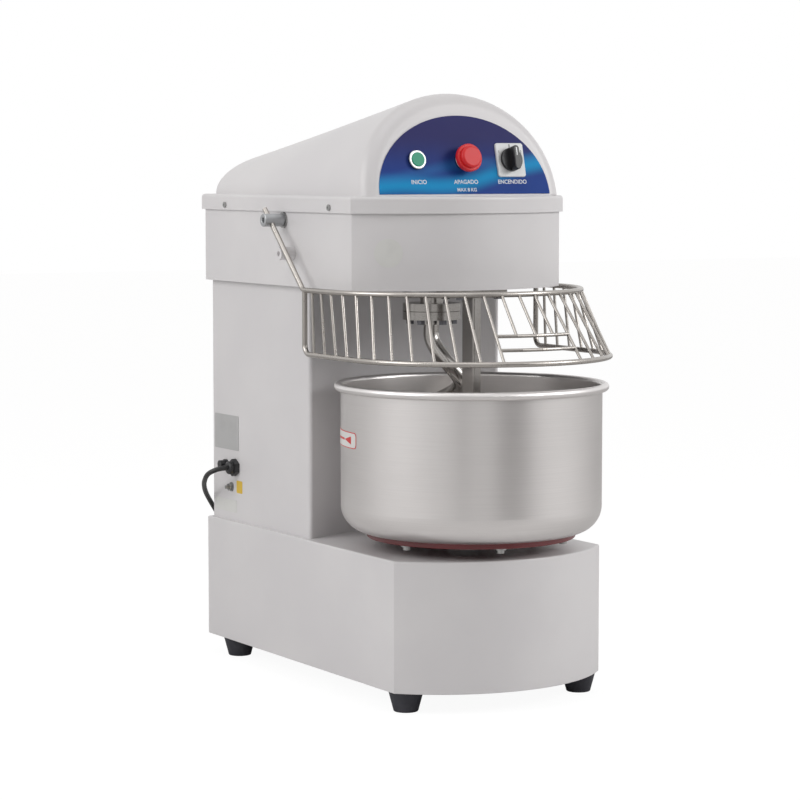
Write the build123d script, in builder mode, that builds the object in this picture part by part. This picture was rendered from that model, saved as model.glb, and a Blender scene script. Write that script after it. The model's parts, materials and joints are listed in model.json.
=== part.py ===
"""Spiral dough mixer, 20 litre bench size, as separate sub-parts.

Frame: millimetres, +Z up, the front faces -Y, the floor is z = 0, and the origin is
below the middle of the machine. The bowl and the spiral hook turn about vertical axes,
and the guard swings up about an axis along X.
"""

from build123d import *
import os
from math import atan2, cos, pi, radians, sin, sqrt, tan

os.makedirs("parts", exist_ok=True)

# ---------------------------------------------------------------- driving dimensions
sheet = 2.0                 # painted steel sheet of every casing
skin_gap = 0.3              # between nested curved sheets
run_gap = 0.05              # radial clearance of shafts in their bearings

foot_height = 30.0
foot_top_r = 26.0
foot_bottom_r = 18.0
foot_x = 152.0
foot_front_inset = 13.0     # foot centre behind the base's front corner
foot_rear_inset = 57.0
foot_bolt_r = 4.0

base_width = 360.0
base_length = 604.0         # rear face to front corners
base_height = 194.0
base_bulge = 76.0           # how far the round front stands out before its corners
base_rear_y = 369.0
base_floor_thick = 3.0

column_width = 344.0
column_height = 387.0
column_rear_y = 363.0
column_front_y = 32.0
column_hollow = 55.0        # depth of the hollow front
column_corner = 5.0         # rounding of the front edges
column_flange = 20.0        # rear flange that the back panel screws to

head_width = 366.0
head_wall_height = 137.0
head_front_y = -117.0
head_rear_y = 366.0
head_bulge = 74.0
head_plate_thick = 8.0

lip_overhang = 4.0
lip_height = 25.0
lip_round = 5.0
hood_half_width = 172.5
hood_front_y = -141.5
hood_rear_y = 360.0
hood_front_rise = 163.5     # ridge height above the lip, at the front face's foot
hood_rear_rise = 70.0
hood_lean = 13.4            # degrees, front face from vertical
hood_front_round = 22.0
hood_rear_round = 15.0

bowl_y = -157.0
bowl_r = 196.0
bowl_depth = 224.0
bowl_corner = 40.0
bowl_sheet = 2.0
rim_roll_r = 6.0
carrier_r = 157.0
carrier_thick = 8.0
carrier_lift = 17.0         # carrier's underside above the base
carrier_bolt_circle = 140.0

hook_y = -41.5
hook_rod_r = 12.0
hook_sweep_r = 60.0
hook_flange_r = 44.5
hook_flange_thick = 12.5
hook_drop = 25.0            # head plate to the top flange's upper face
hook_shaft_r = 17.5
hook_bolt_circle = 33.0
hook_bolt_r = 4.0
hook_clear = 16.0           # hook's lowest turn above the bowl's bottom

breaker_x = 14.0
breaker_y = 33.0
breaker_clear = 24.0
breaker_plate = (84.0, 66.0, 8.0)

belt_width = 10.0
belt_thick = 8.0
belt_gap = 0.5
pulley_width = 18.0
motor_pulley_r = 25.0
hook_large_r = 130.0
hook_small_r = 30.0
lay_large_r = 75.0
lay_small_r = 30.0
bowl_pulley_r = 110.0
motor_xy = (0.0, 255.0)
lay_xy = (95.0, 150.0)
motor_r = 60.0
motor_length = 180.0
motor_shaft_r = 9.5
lay_shaft_r = 10.0
turn_shaft_r = 15.0

rod_r = 4.0
spoke_r = 2.2
guard_r = 207.0
guard_post_y = -11.0
guard_top_y = -79.0         # centre of the top ring's half circle
guard_top_z = 609.0
guard_bottom_z = 513.0
guard_bend = 14.0
guard_steps = 28            # spoke spaces round the guard
guard_open = range(13, 16)  # spokes that stop at the filling window
window_levels = (0.60, 0.80)
pivot_y = 95.0
pivot_z = 712.0
pivot_r = 10.0
pivot_length = 33.0
pivot_pin_r = 6.0
stop_y = 66.0
stop_z = 661.5

panel_width = 298.0
panel_height = 120.0
panel_thick = 1.2
control_rise = 54.5         # controls above the panel's foot, up the slope
start_x = -80.0
stop_x = 2.0
selector_x = 84.0
button_hole_r = 11.0
button_travel = 3.0
stop_travel = 5.0

cord_r = 4.0
coil_y = 433.0
coil_mean_r = 44.0
coil_half_width = 12.0
coil_low = 1.2
coil_high = 16.2

# ---------------------------------------------------------------- worked-out sizes
base_top = foot_height + base_height
base_front_y = base_rear_y - base_length
base_half = base_width / 2
column_half = column_width / 2
head_bottom = base_top + column_height
head_half = head_width / 2
head_wall_top = head_bottom + head_wall_height
plate_top = head_bottom + head_plate_thick
lip_half = head_half + lip_overhang
lip_top = head_wall_top + sheet
lip_bottom = lip_top - lip_height
lip_front_y = head_front_y - lip_overhang
lip_rear_y = head_rear_y + lip_overhang + 1

carrier_bottom = base_top + carrier_lift
bowl_bottom = carrier_bottom + carrier_thick
bowl_rim_z = bowl_bottom + bowl_depth

flange_top = head_bottom - hook_drop
flange_seam = flange_top - hook_flange_thick
flange_bottom = flange_seam - hook_flange_thick

lean = radians(hood_lean)
hood_face = Plane(origin=(0, hood_front_y, lip_top), x_dir=(1, 0, 0), z_dir=(0, -cos(lean), sin(lean)))
panel_face = hood_face.offset(panel_thick)
panel_out = Axis(hood_face.origin, hood_face.z_dir)
controls_xy = [(start_x, control_rise), (stop_x, control_rise), (selector_x, control_rise)]

bowl_axis_plane = Plane(origin=(0, bowl_y, 0), x_dir=(1, 0, 0), z_dir=(0, -1, 0))
foot_places = [(side * foot_x, y) for side in (-1, 1)
               for y in (base_front_y + foot_front_inset, base_rear_y - foot_rear_inset)]


# ---------------------------------------------------------------- shared outlines
def round_front_outline(half_width, front, rear, bulge, inset=0.0):
    """Straight sides and back, and one arc across the front, moved in by a wall."""
    radius = (half_width ** 2 + bulge ** 2) / (2 * bulge)
    centre_y = front - bulge + radius
    w = half_width - inset
    r = radius - inset
    corner_y = centre_y - sqrt(r ** 2 - w ** 2)
    with BuildLine() as outline:
        Polyline((-w, corner_y), (-w, rear - inset), (w, rear - inset), (w, corner_y))
        ThreePointArc((w, corner_y), (0, centre_y - r), (-w, corner_y))
    return outline.line


def base_outline(inset=0.0):
    return round_front_outline(base_half, base_front_y, base_rear_y, base_bulge, inset)


def head_outline(inset=0.0):
    return round_front_outline(head_half, head_front_y, head_rear_y, head_bulge, inset)


def lip_outline(inset=0.0):
    return round_front_outline(lip_half, lip_front_y, lip_rear_y, head_bulge, inset)


def column_outline(inset=0.0):
    """Straight sides and back, and a hollow arc across the front."""
    radius = (column_half ** 2 + column_hollow ** 2) / (2 * column_hollow)
    centre_y = column_front_y + column_hollow - radius
    w = column_half - inset
    r = radius + inset
    corner_y = centre_y + sqrt(r ** 2 - w ** 2)
    rear = column_rear_y - inset
    with BuildLine() as outline:
        Polyline((-w, corner_y), (-w, rear), (w, rear), (w, corner_y))
        ThreePointArc((w, corner_y), (0, centre_y + r), (-w, corner_y))
    return outline.line


def turned(centre, steps):
    """Cylinders stacked on one vertical axis: (radius, low z, high z) for each."""
    for radius, low, high in steps:
        with Locations((centre[0], centre[1], low)):
            Cylinder(radius, high - low, align=(Align.CENTER, Align.CENTER, Align.MIN))


def bored(centre, radius, low, high):
    """A round hole on a vertical axis."""
    with Locations((centre[0], centre[1], low)):
        Cylinder(radius, high - low, align=(Align.CENTER, Align.CENTER, Align.MIN), mode=Mode.SUBTRACT)


def grooved_pulley(centre, pitch_r, mid_z, bore_r):
    """A belt pulley: rims, a groove that clears the belt, and its bore."""
    low = mid_z - pulley_width / 2
    high = mid_z + pulley_width / 2
    groove = belt_width / 2 + belt_gap
    floor_r = pitch_r - belt_thick / 2 - belt_gap
    rim_r = pitch_r + belt_thick / 2 + 1
    turned(centre, [(rim_r, low, mid_z - groove), (floor_r, low, high), (rim_r, mid_z + groove, high)])
    bored(centre, bore_r, low, high)


def belt_hull(ends, offset, mid_z):
    """The sketch round two pulleys, at an offset from their pitch circles."""
    with BuildSketch(Plane.XY.offset(mid_z - belt_width / 2)) as hull:
        for centre, pitch_r in ends:
            with Locations(centre):
                Circle(pitch_r + offset)
        make_hull()
    return hull.sketch


def side_rod(x, y, z, radius, length):
    """A round bar along X that starts at x and runs outward on x's side."""
    side = 1 if x > 0 else -1
    with Locations(Plane(origin=(x, y, z), z_dir=(side, 0, 0))):
        Cylinder(radius, length, align=(Align.CENTER, Align.CENTER, Align.MIN))


def side_hole(x, y, z, radius, length):
    """A hole along X that starts at x and runs outward on x's side."""
    side = 1 if x > 0 else -1
    with Locations(Plane(origin=(x, y, z), z_dir=(side, 0, 0))):
        Cylinder(radius, length, align=(Align.CENTER, Align.CENTER, Align.MIN), mode=Mode.SUBTRACT)


# ---------------------------------------------------------------- base
shaft_hole_r = 16.0
housing_r = 40.0
housing_gap = 0.2

with BuildPart() as base_shell:
    with BuildSketch(Plane.XY.offset(foot_height)):
        add(base_outline())
        make_face()
    extrude(amount=base_height)
    fillet(base_shell.edges().group_by(Axis.Z)[-1], 2.5)
    fillet(base_shell.edges().group_by(Axis.Z)[0], 1.0)
    with BuildSketch(Plane.XY.offset(foot_height)):
        add(base_outline(sheet))
        make_face()
    extrude(amount=base_height - sheet, mode=Mode.SUBTRACT)
    bored((0, bowl_y), housing_r + housing_gap, base_top - sheet, base_top)
    bored(lay_xy, shaft_hole_r, base_top - sheet, base_top)
base_shell.part.label = "base_shell"
export_step(base_shell.part, "parts/base_shell.step")

with BuildPart() as base_floor:
    with BuildSketch(Plane.XY.offset(foot_height)):
        add(base_outline(sheet + skin_gap))
        make_face()
    extrude(amount=base_floor_thick)
    for place in foot_places:
        bored(place, foot_bolt_r, foot_height, foot_height + base_floor_thick)
base_floor.part.label = "base_floor"
export_step(base_floor.part, "parts/base_floor.step")

foot_bolt_head = 7.0
foot_bolt_low = 6.0
with BuildPart() as rubber_feet:
    with Locations(*[(x, y, 0) for x, y in foot_places]):
        Cone(foot_bottom_r, foot_top_r, foot_height, align=(Align.CENTER, Align.CENTER, Align.MIN))
    fillet(rubber_feet.edges().group_by(Axis.Z)[0], 2.0)
    for place in foot_places:
        bored(place, foot_bolt_head, 0, foot_bolt_low + 5)
        bored(place, foot_bolt_r, foot_bolt_low, foot_height)
rubber_feet.part.label = "rubber_feet"
export_step(rubber_feet.part, "parts/rubber_feet.step")

with BuildPart() as foot_bolts:
    nut_low = foot_height + base_floor_thick
    for place in foot_places:
        turned(place, [(foot_bolt_head - 0.5, foot_bolt_low, foot_bolt_low + 5),
                       (foot_bolt_r, foot_bolt_low, nut_low + 14), (foot_bolt_head, nut_low, nut_low + 6)])
foot_bolts.part.label = "foot_bolts"
export_step(foot_bolts.part, "parts/foot_bolts.step")

# ---------------------------------------------------------------- column
gland_y, gland_z, gland_hole_r = 283.0, 311.0, 9.0
fuse_y, fuse_z, fuse_hole_r = 317.0, 313.0, 6.0
earth_y, earth_z, earth_r = 299.0, 278.0, 3.0
screw_r = 2.4
screw_head_r = 4.6
screw_head = 2.4
back_screws = [(side * (column_half - column_flange / 2 - sheet), z) for side in (-1, 1)
               for z in (base_top + 22, base_top + column_height / 2, head_bottom - 22)]

with BuildPart() as column_shell:
    with BuildSketch(Plane.XY.offset(base_top)):
        add(column_outline())
        make_face()
    extrude(amount=column_height)
    fillet(column_shell.edges().filter_by(Axis.Z).group_by(Axis.Y)[0], column_corner)
    with BuildSketch(Plane.XY.offset(base_top)) as column_hole:
        add(column_outline(sheet))
        make_face()
        fillet(column_hole.vertices().group_by(Axis.Y)[0], column_corner - sheet)
    extrude(amount=column_height, mode=Mode.SUBTRACT)
    with Locations((0, column_rear_y, base_top + column_height / 2)):
        Box(column_width - 2 * (sheet + column_flange), 4 * sheet, column_height - 2 * column_flange,
            mode=Mode.SUBTRACT)
    for x, z in back_screws:
        with Locations(Plane(origin=(x, column_rear_y, z), z_dir=(0, -1, 0))):
            Cylinder(screw_r, 3 * sheet, mode=Mode.SUBTRACT)
    side_hole(-column_half + sheet, gland_y, gland_z, gland_hole_r, sheet)
    side_hole(-column_half + sheet, fuse_y, fuse_z, fuse_hole_r, sheet)
    side_hole(-column_half + sheet, earth_y, earth_z, earth_r, sheet)
column_shell.part.label = "column_shell"
export_step(column_shell.part, "parts/column_shell.step")

rear_cover_thick = 1.5
with BuildPart() as rear_cover:
    with Locations((0, column_rear_y + rear_cover_thick / 2, base_top + column_height / 2)):
        Box(column_width - 6, rear_cover_thick, column_height - 12)
    for x, z in back_screws:
        with Locations(Plane(origin=(x, column_rear_y, z), z_dir=(0, 1, 0))):
            Cylinder(screw_r, 4 * rear_cover_thick, mode=Mode.SUBTRACT)
    for block_z in (base_top + 90, head_bottom - 90):
        with BuildSketch(Plane(origin=(0, column_rear_y, block_z), x_dir=(1, 0, 0), z_dir=(0, -1, 0))):
            with GridLocations(90, 14, 2, 5):
                SlotOverall(70, 5)
        extrude(amount=3 * rear_cover_thick, both=True, mode=Mode.SUBTRACT)
rear_cover.part.label = "rear_cover"
export_step(rear_cover.part, "parts/rear_cover.step")

# ---------------------------------------------------------------- head
hook_housing_r = 45.0
breaker_bolts_xy = [(x, bowl_y + y) for x in (-33, 33) for y in (-21, 21)]
breaker_bolt_r = 4.0
bush_r = 9.0
bush_flange_r = 12.0
stop_pin_r = 5.0
lip_screws = [(side, y) for side in (-1, 1) for y in (-56.0, 287.0)]
lip_screw_z = lip_bottom + 8

with BuildPart() as head_housing:
    with BuildSketch(Plane.XY.offset(head_bottom)):
        add(head_outline())
        make_face()
    extrude(amount=head_wall_height)
    with BuildSketch(Plane.XY.offset(head_bottom)):
        add(head_outline(sheet))
        make_face()
    extrude(amount=head_wall_height, mode=Mode.SUBTRACT)
    for side in (-1, 1):
        side_hole(side * (head_half - sheet), pivot_y, pivot_z, bush_r, sheet)
        side_hole(side * (head_half - sheet), stop_y, stop_z, stop_pin_r, sheet)
    for side, y in lip_screws:
        side_hole(side * (head_half - sheet), y, lip_screw_z, screw_r, sheet)
head_housing.part.label = "head_housing"
export_step(head_housing.part, "parts/head_housing.step")

with BuildPart() as head_plate:
    with BuildSketch(Plane.XY.offset(head_bottom)):
        add(head_outline(sheet + skin_gap))
        make_face()
    extrude(amount=head_plate_thick)
    bored((0, hook_y), hook_housing_r, head_bottom, plate_top)
    bored(motor_xy, 34.0, head_bottom, plate_top)
    bored(lay_xy, shaft_hole_r, head_bottom, plate_top)
    bored((-120, 220), 20.0, head_bottom, plate_top)
    for place in breaker_bolts_xy:
        bored(place, breaker_bolt_r, head_bottom, plate_top)
head_plate.part.label = "head_plate"
export_step(head_plate.part, "parts/head_plate.step")


def hood_form(inset):
    """The hood as a full solid: an elliptical arch under a straight sloping ridge."""
    slope = (hood_front_rise - hood_rear_rise) / (hood_rear_y - hood_front_y)
    spare = 40.0
    foot_z = lip_top - sheet / 2 - inset
    with BuildPart() as form:
        for y in (hood_front_y - spare, hood_rear_y + spare):
            rise = hood_front_rise - slope * (y - hood_front_y)
            with BuildSketch(Plane.XZ.offset(-y)):
                with Locations((0, lip_top)):
                    Ellipse(hood_half_width - inset, rise - inset)
                with Locations((0, foot_z)):
                    Rectangle(4 * hood_half_width, 4 * rise, align=(Align.CENTER, Align.MAX),
                              mode=Mode.SUBTRACT)
        loft(ruled=True)
        split(bisect_by=hood_face.offset(-inset), keep=Keep.BOTTOM)
        split(bisect_by=Plane.XZ.offset(-hood_rear_y + inset), keep=Keep.TOP)
        front = form.faces().sort_by(Axis.Y)[0]
        fillet([e for e in front.edges() if e.center().Z > lip_top], hood_front_round - inset)
        back = form.faces().sort_by(Axis.Y)[-1]
        fillet([e for e in back.edges() if e.center().Z > lip_top], hood_rear_round - inset)
    return form.part


hood_outside = hood_form(0.0)
hood_inside = hood_form(sheet)

with BuildPart() as top_cover:
    with BuildSketch(Plane.XY.offset(lip_bottom)):
        add(lip_outline())
        make_face()
    extrude(amount=lip_height)
    fillet(top_cover.edges().group_by(Axis.Z)[-1], lip_round)
    with BuildSketch(Plane.XY.offset(lip_bottom)):
        add(lip_outline(sheet))
        make_face()
    extrude(amount=lip_height - sheet, mode=Mode.SUBTRACT)
    add(hood_outside)
    add(hood_inside, mode=Mode.SUBTRACT)
    with BuildSketch(hood_face):
        with Locations(*controls_xy):
            Circle(button_hole_r)
    extrude(amount=2 * sheet, both=True, mode=Mode.SUBTRACT)
    for side, y in lip_screws:
        side_hole(side * (lip_half - sheet), y, lip_screw_z, screw_r, sheet)
top_cover.part.label = "top_cover"
export_step(top_cover.part, "parts/top_cover.step")

with BuildPart() as panel_screws:
    for side, y in lip_screws:
        side_rod(side * (head_half - 4 * sheet), y, lip_screw_z, screw_r, lip_half - head_half + 4 * sheet)
        side_rod(side * lip_half, y, lip_screw_z, screw_head_r, screw_head)
        side_hole(side * (lip_half + screw_head - 1), y, lip_screw_z, 1.6, 1)
    for x, z in back_screws:
        outward = Plane(origin=(x, column_rear_y + rear_cover_thick, z), z_dir=(0, 1, 0))
        with Locations(outward.offset(-12)):
            Cylinder(screw_r, 12, align=(Align.CENTER, Align.CENTER, Align.MIN))
        with Locations(outward):
            Cylinder(screw_head_r, screw_head, align=(Align.CENTER, Align.CENTER, Align.MIN))
        with Locations(outward.offset(screw_head - 1)):
            Cylinder(1.6, 1, align=(Align.CENTER, Align.CENTER, Align.MIN), mode=Mode.SUBTRACT)
panel_screws.part.label = "panel_screws"
export_step(panel_screws.part, "parts/panel_screws.step")

# ---------------------------------------------------------------- control panel
with BuildPart() as control_panel:
    with BuildSketch(hood_face):
        with Locations((0, 3)):
            Ellipse(panel_width / 2, panel_height)
        with Locations((0, 3)):
            Rectangle(2 * panel_width, 2 * panel_height, align=(Align.CENTER, Align.MAX), mode=Mode.SUBTRACT)
        with Locations(*controls_xy):
            Circle(button_hole_r, mode=Mode.SUBTRACT)
    extrude(amount=panel_thick)
control_panel.part.label = "control_panel"
export_step(control_panel.part, "parts/control_panel.step")

bezel_r, bezel_height = 14.5, 5.0
stop_collar_r = 16.0
neck_r, neck_bore_r, neck_length = 10.9, 9.0, 16.0

with BuildPart() as button_bezels:
    for x, outer_r in ((start_x, bezel_r), (stop_x, stop_collar_r)):
        with Locations(panel_face.offset(-neck_length).location * Location((x, control_rise, 0))):
            Cylinder(neck_r, neck_length, align=(Align.CENTER, Align.CENTER, Align.MIN))
        with Locations(panel_face.location * Location((x, control_rise, 0))):
            Cylinder(outer_r, bezel_height, align=(Align.CENTER, Align.CENTER, Align.MIN))
    chamfer(button_bezels.edges().filter_by(GeomType.CIRCLE).group_by(panel_out)[-1], 1.0)
    for x, bore_r in ((start_x, button_hole_r), (stop_x, button_hole_r)):
        with Locations(panel_face.location * Location((x, control_rise, 0))):
            Cylinder(bore_r, bezel_height, align=(Align.CENTER, Align.CENTER, Align.MIN), mode=Mode.SUBTRACT)
        with Locations(panel_face.offset(-neck_length).location * Location((x, control_rise, 0))):
            Cylinder(neck_bore_r, neck_length, align=(Align.CENTER, Align.CENTER, Align.MIN),
                     mode=Mode.SUBTRACT)
button_bezels.part.label = "button_bezels"
export_step(button_bezels.part, "parts/button_bezels.step")

cap_gap = 0.3
stem_r = 7.5
stem_length = 22.0
with BuildPart() as start_button:
    with Locations(panel_face.offset(-stem_length).location * Location((start_x, control_rise, 0))):
        Cylinder(stem_r, stem_length + 4, align=(Align.CENTER, Align.CENTER, Align.MIN))
    with Locations(panel_face.offset(button_travel + 0.4).location * Location((start_x, control_rise, 0))):
        Cylinder(button_hole_r - cap_gap, 3.2, align=(Align.CENTER, Align.CENTER, Align.MIN))
    fillet(start_button.edges().filter_by(GeomType.CIRCLE).group_by(panel_out)[-1], 0.8)
start_button.part.label = "start_button"
export_step(start_button.part, "parts/start_button.step")

mushroom_r = 21.0
mushroom_low = bezel_height + stop_travel + 1
with BuildPart() as stop_button:
    with Locations(panel_face.offset(-stem_length).location * Location((stop_x, control_rise, 0))):
        Cylinder(stem_r, stem_length + mushroom_low, align=(Align.CENTER, Align.CENTER, Align.MIN))
    with Locations(panel_face.offset(mushroom_low).location * Location((stop_x, control_rise, 0))):
        Cylinder(mushroom_r, 9, align=(Align.CENTER, Align.CENTER, Align.MIN))
    with Locations(panel_face.offset(mushroom_low + 9).location * Location((stop_x, control_rise, 0))):
        Cylinder(mushroom_r - 4, 6, align=(Align.CENTER, Align.CENTER, Align.MIN))
    fillet(stop_button.edges().filter_by(GeomType.CIRCLE).group_by(panel_out)[-1], 4.0)
    widest = stop_button.edges().filter_by(GeomType.CIRCLE).filter_by(lambda e: e.radius > mushroom_r - 0.5)
    fillet(widest, 2.0)
stop_button.part.label = "stop_button"
export_step(stop_button.part, "parts/stop_button.step")

selector_size = (49.0, 52.0, 3.0)
with BuildPart() as selector_plate:
    with BuildSketch(panel_face):
        with Locations((selector_x, control_rise)):
            RectangleRounded(selector_size[0], selector_size[1], 4)
            Circle(neck_bore_r, mode=Mode.SUBTRACT)
    extrude(amount=selector_size[2])
    chamfer(selector_plate.faces().sort_by(panel_out)[-1].outer_wire().edges(), 0.8)
selector_plate.part.label = "selector_plate"
export_step(selector_plate.part, "parts/selector_plate.step")

knob_r, knob_height = 18.0, 5.0
grip_width, grip_length, grip_height = 10.0, 37.0, 14.0
knob_low = selector_size[2] + 0.5
with BuildPart() as selector_knob:
    with Locations(panel_face.offset(-stem_length).location * Location((selector_x, control_rise, 0))):
        Cylinder(stem_r, stem_length + knob_low, align=(Align.CENTER, Align.CENTER, Align.MIN))
    with Locations(panel_face.offset(knob_low).location * Location((selector_x, control_rise, 0))):
        Cylinder(knob_r, knob_height, align=(Align.CENTER, Align.CENTER, Align.MIN))
    with BuildSketch(panel_face.offset(knob_low + knob_height)):
        with Locations((selector_x, control_rise)):
            SlotOverall(grip_length, grip_width, rotation=90)
    extrude(amount=grip_height)
    fillet(selector_knob.faces().sort_by(panel_out)[-1].edges(), 1.5)
selector_knob.part.label = "selector_knob"
export_step(selector_knob.part, "parts/selector_knob.step")

block_size = (30.0, 40.0, 34.0)
with BuildPart() as contact_blocks:
    for x in (start_x, stop_x, selector_x):
        back = panel_face.offset(-stem_length - stop_travel - 1 - block_size[2])
        with BuildSketch(back):
            with Locations((x, control_rise)):
                Rectangle(block_size[0], block_size[1])
        extrude(amount=block_size[2])
        with BuildSketch(back.offset(block_size[2])):
            with Locations((x, control_rise)):
                Circle(button_hole_r + 2)
                Circle(neck_r, mode=Mode.SUBTRACT)
        extrude(amount=stem_length + stop_travel + 1 - panel_thick - sheet)
contact_blocks.part.label = "contact_blocks"
export_step(contact_blocks.part, "parts/contact_blocks.step")

# ---------------------------------------------------------------- bowl and turntable
with BuildPart() as bowl_inside:
    turned((0, bowl_y), [(bowl_r - bowl_sheet, bowl_bottom + bowl_sheet, bowl_rim_z + 1)])
    fillet(bowl_inside.edges().group_by(Axis.Z)[0], bowl_corner - bowl_sheet)

with BuildPart() as bowl:
    turned((0, bowl_y), [(bowl_r, bowl_bottom, bowl_rim_z - rim_roll_r)])
    fillet(bowl.edges().group_by(Axis.Z)[0], bowl_corner)
    with BuildSketch(bowl_axis_plane):
        with Locations((bowl_r + rim_roll_r - bowl_sheet, bowl_rim_z - rim_roll_r)):
            Circle(rim_roll_r)
    revolve(axis=Axis((0, bowl_y, 0), (0, 0, 1)))
    add(bowl_inside.part, mode=Mode.SUBTRACT)
bowl.part.label = "bowl"
export_step(bowl.part, "parts/bowl.step")

carrier_bolts_xy = [(carrier_bolt_circle * cos(radians(a)), bowl_y + carrier_bolt_circle * sin(radians(a)))
                    for a in range(16, 376, 60)]
spigot_r = 12.0
carrier_bolt_head_r = 9.0
carrier_bolt_r = 6.0
with BuildPart() as bowl_carrier:
    turned((0, bowl_y), [(carrier_r, carrier_bottom, bowl_bottom)])
    fillet(bowl_carrier.edges().group_by(Axis.Z)[0], 2.0)
    bored((0, bowl_y), spigot_r, carrier_bottom, bowl_bottom)
bowl_carrier.part.label = "bowl_carrier"
export_step(bowl_carrier.part, "parts/bowl_carrier.step")

with BuildPart() as carrier_bolts:
    for place in carrier_bolts_xy:
        turned(place, [(carrier_bolt_head_r, carrier_bottom - 3, carrier_bottom),
                       (carrier_bolt_r, carrier_bottom - 8, carrier_bottom)])
carrier_bolts.part.label = "carrier_bolts"
export_step(carrier_bolts.part, "parts/carrier_bolts.step")

bearing_height = 16.0
turn_bearing_r = 31.0
housing_flange_r = 70.0
housing_low = base_top - 74
housing_high = base_top + 12
with BuildPart() as turntable_housing:
    turned((0, bowl_y), [(housing_r, housing_low, housing_high),
                         (housing_flange_r, base_top - sheet - 6, base_top - sheet)])
    bored((0, bowl_y), turn_bearing_r, housing_low, housing_high)
turntable_housing.part.label = "turntable_housing"
export_step(turntable_housing.part, "parts/turntable_housing.step")

with BuildPart() as turntable_bearings:
    for low in (housing_low, housing_high - bearing_height):
        turned((0, bowl_y), [(turn_bearing_r, low, low + bearing_height)])
        bored((0, bowl_y), turn_shaft_r + run_gap, low, low + bearing_height)
turntable_bearings.part.label = "turntable_bearings"
export_step(turntable_bearings.part, "parts/turntable_bearings.step")

bowl_belt_z = foot_height + 70
lay_low = foot_height + base_floor_thick + 12
with BuildPart() as turntable_shaft:
    turned((0, bowl_y), [(turn_shaft_r, lay_low, carrier_bottom), (spigot_r, lay_low, bowl_bottom)])
turntable_shaft.part.label = "turntable_shaft"
export_step(turntable_shaft.part, "parts/turntable_shaft.step")

bowl_pulley_hole_circle = 62.0
bowl_pulley_hole_r = 20.0
with BuildPart() as bowl_pulley:
    grooved_pulley((0, bowl_y), bowl_pulley_r, bowl_belt_z, turn_shaft_r)
    for hole in range(6):
        angle = radians(60 * hole)
        place = (bowl_pulley_hole_circle * cos(angle), bowl_y + bowl_pulley_hole_circle * sin(angle))
        bored(place, bowl_pulley_hole_r, bowl_belt_z - pulley_width, bowl_belt_z + pulley_width)
bowl_pulley.part.label = "bowl_pulley"
export_step(bowl_pulley.part, "parts/bowl_pulley.step")

# ---------------------------------------------------------------- spiral hook and its shaft
hook_bearing_r = 36.0
hook_housing_low = head_bottom - 11
hook_housing_top = plate_top + 31
belt_spacing = 34.0
hook_housing_flange_r = 62.0
large_belt_z = hook_housing_top + 3 + pulley_width / 2
small_belt_z = large_belt_z + belt_spacing
hook_bolts_xy = [(hook_bolt_circle * cos(radians(a)), hook_y + hook_bolt_circle * sin(radians(a)))
                 for a in range(30, 390, 60)]

with BuildPart() as hook_housing:
    turned((0, hook_y), [(hook_housing_r, hook_housing_low, hook_housing_top),
                         (hook_housing_flange_r, plate_top, plate_top + 8)])
    bored((0, hook_y), hook_bearing_r, hook_housing_low, hook_housing_top)
hook_housing.part.label = "hook_housing"
export_step(hook_housing.part, "parts/hook_housing.step")

with BuildPart() as hook_bearings:
    for low in (hook_housing_low, hook_housing_top - bearing_height):
        turned((0, hook_y), [(hook_bearing_r, low, low + bearing_height)])
        bored((0, hook_y), hook_shaft_r + run_gap, low, low + bearing_height)
hook_bearings.part.label = "hook_bearings"
export_step(hook_bearings.part, "parts/hook_bearings.step")

with BuildPart() as hook_shaft:
    turned((0, hook_y), [(hook_flange_r, flange_seam, flange_top),
                         (hook_shaft_r, flange_seam, small_belt_z + pulley_width)])
    chamfer(hook_shaft.edges().filter_by(GeomType.CIRCLE).sort_by(Axis.Z)[0:1], 1.0)
    for place in hook_bolts_xy:
        bored(place, hook_bolt_r, flange_seam, flange_top)
hook_shaft.part.label = "hook_shaft"
export_step(hook_shaft.part, "parts/hook_shaft.step")

hook_low_z = bowl_bottom + bowl_sheet + hook_clear + hook_rod_r
hook_straight = 28.0
hook_run_out = 62.0         # from the straight neck to the first turn
hook_turn_top = flange_bottom - hook_straight - hook_run_out
hook_turns = 1.15
hook_points = [(0, hook_y, flange_bottom), (0, hook_y, flange_bottom - hook_straight)]
hook_steps = 13
for step in range(hook_steps + 1):
    share = step / hook_steps
    angle = radians(-35) + 2 * pi * hook_turns * share
    reach = hook_sweep_r * min(1.0, 0.72 + 1.2 * share) * (1.0 - 0.35 * max(0.0, share - 0.8) / 0.2)
    hook_points.append((reach * cos(angle), hook_y + reach * sin(angle),
                        hook_turn_top + (hook_low_z - hook_turn_top) * share))

with BuildPart() as spiral_hook:
    with BuildLine() as hook_line:
        Spline(*hook_points, tangents=[(0, 0, -1), (sin(radians(20)), cos(radians(20)), -0.1)])
    with BuildSketch(Plane.XY.offset(flange_bottom)):
        with Locations((0, hook_y)):
            Circle(hook_rod_r)
    sweep(path=hook_line.line)
    turned((0, hook_y), [(hook_flange_r, flange_bottom, flange_seam),
                         (hook_rod_r + 5, flange_bottom - 8, flange_seam)])
    for place in hook_bolts_xy:
        bored(place, hook_bolt_r, flange_bottom, flange_seam)
spiral_hook.part.label = "spiral_hook"
export_step(spiral_hook.part, "parts/spiral_hook.step")

hook_bolt_head_r = 6.5
hook_bolt_head = 7.0
with BuildPart() as hook_bolts:
    for place in hook_bolts_xy:
        with BuildSketch(Plane.XY.offset(flange_bottom - hook_bolt_head)):
            with Locations(place):
                RegularPolygon(hook_bolt_head_r, 6)
        extrude(amount=hook_bolt_head)
        turned(place, [(hook_bolt_r, flange_bottom - hook_bolt_head, flange_top)])
hook_bolts.part.label = "hook_bolts"
export_step(hook_bolts.part, "parts/hook_bolts.step")

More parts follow.
